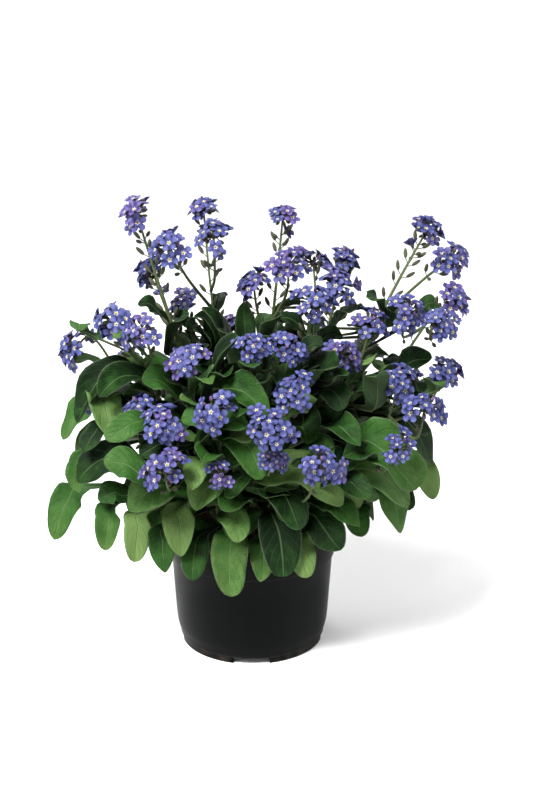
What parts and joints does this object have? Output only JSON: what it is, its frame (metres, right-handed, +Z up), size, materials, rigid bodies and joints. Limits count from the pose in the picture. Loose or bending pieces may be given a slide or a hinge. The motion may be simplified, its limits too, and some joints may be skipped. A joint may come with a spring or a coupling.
{
  "type": "potted forget-me-not",
  "caption": "Leafy flowering forget-me-not with round heads of small blue five-lobed flowers, in a round black plastic nursery pot.",
  "frame": {"origin": "on the pot's axis, at the surface that the pot stands on", "axes": "+Z up, +X to the right and -Y towards the side seen in the picture"},
  "size_m": [0.2541, 0.2027, 0.2776],
  "materials": {
    "pot_plastic": "satin",
    "soil": "matte",
    "leaf_green": "matte",
    "flower_blue": "matte"
  },
  "bodies": {
    "root": {"pot": "pot_plastic", "soil": "soil", "stem_front_left": "leaf_green", "stem_front_middle": "leaf_green", "stem_front_right": "leaf_green", "stem_left_back": "leaf_green", "stem_left_front": "leaf_green", "stem_left_out": "leaf_green", "stem_left_top": "leaf_green", "stem_middle_back": "leaf_green", "stem_middle_top": "leaf_green", "stem_right_back": "leaf_green", "stem_right_inner": "leaf_green", "stem_right_middle": "leaf_green", "stem_right_tall": "leaf_green", "head_front_left_1": "flower_blue", "head_front_middle_1": "flower_blue", "head_front_middle_2": "flower_blue", "head_front_right_1": "flower_blue", "head_front_right_2": "flower_blue", "head_front_right_3": "flower_blue", "head_left_back_1": "flower_blue", "head_left_back_2": "flower_blue", "head_left_back_3": "flower_blue", "head_left_back_4": "flower_blue", "head_left_front_1": "flower_blue", "head_left_front_2": "flower_blue", "head_left_front_3": "flower_blue", "head_left_front_4": "flower_blue", "head_left_out_1": "flower_blue", "head_left_out_2": "flower_blue", "head_left_out_3": "flower_blue", "head_left_top_1": "flower_blue", "head_left_top_2": "flower_blue", "head_left_top_3": "flower_blue", "head_left_top_4": "flower_blue", "head_left_top_5": "flower_blue", "head_middle_back_1": "flower_blue", "head_middle_back_2": "flower_blue", "head_middle_top_1": "flower_blue", "head_middle_top_2": "flower_blue", "head_middle_top_3": "flower_blue", "head_right_back_1": "flower_blue", "head_right_back_2": "flower_blue", "head_right_back_3": "flower_blue", "head_right_inner_1": "flower_blue", "head_right_inner_2": "flower_blue", "head_right_inner_3": "flower_blue", "head_right_inner_4": "flower_blue", "head_right_inner_5": "flower_blue", "head_right_inner_6": "flower_blue", "head_right_middle_1": "flower_blue", "head_right_middle_2": "flower_blue", "head_right_middle_3": "flower_blue", "head_right_middle_4": "flower_blue", "head_right_tall_1": "flower_blue", "head_right_tall_2": "flower_blue", "head_right_tall_3": "flower_blue", "head_right_tall_4": "flower_blue", "head_right_tall_5": "flower_blue"}
  },
  "joints": []
}
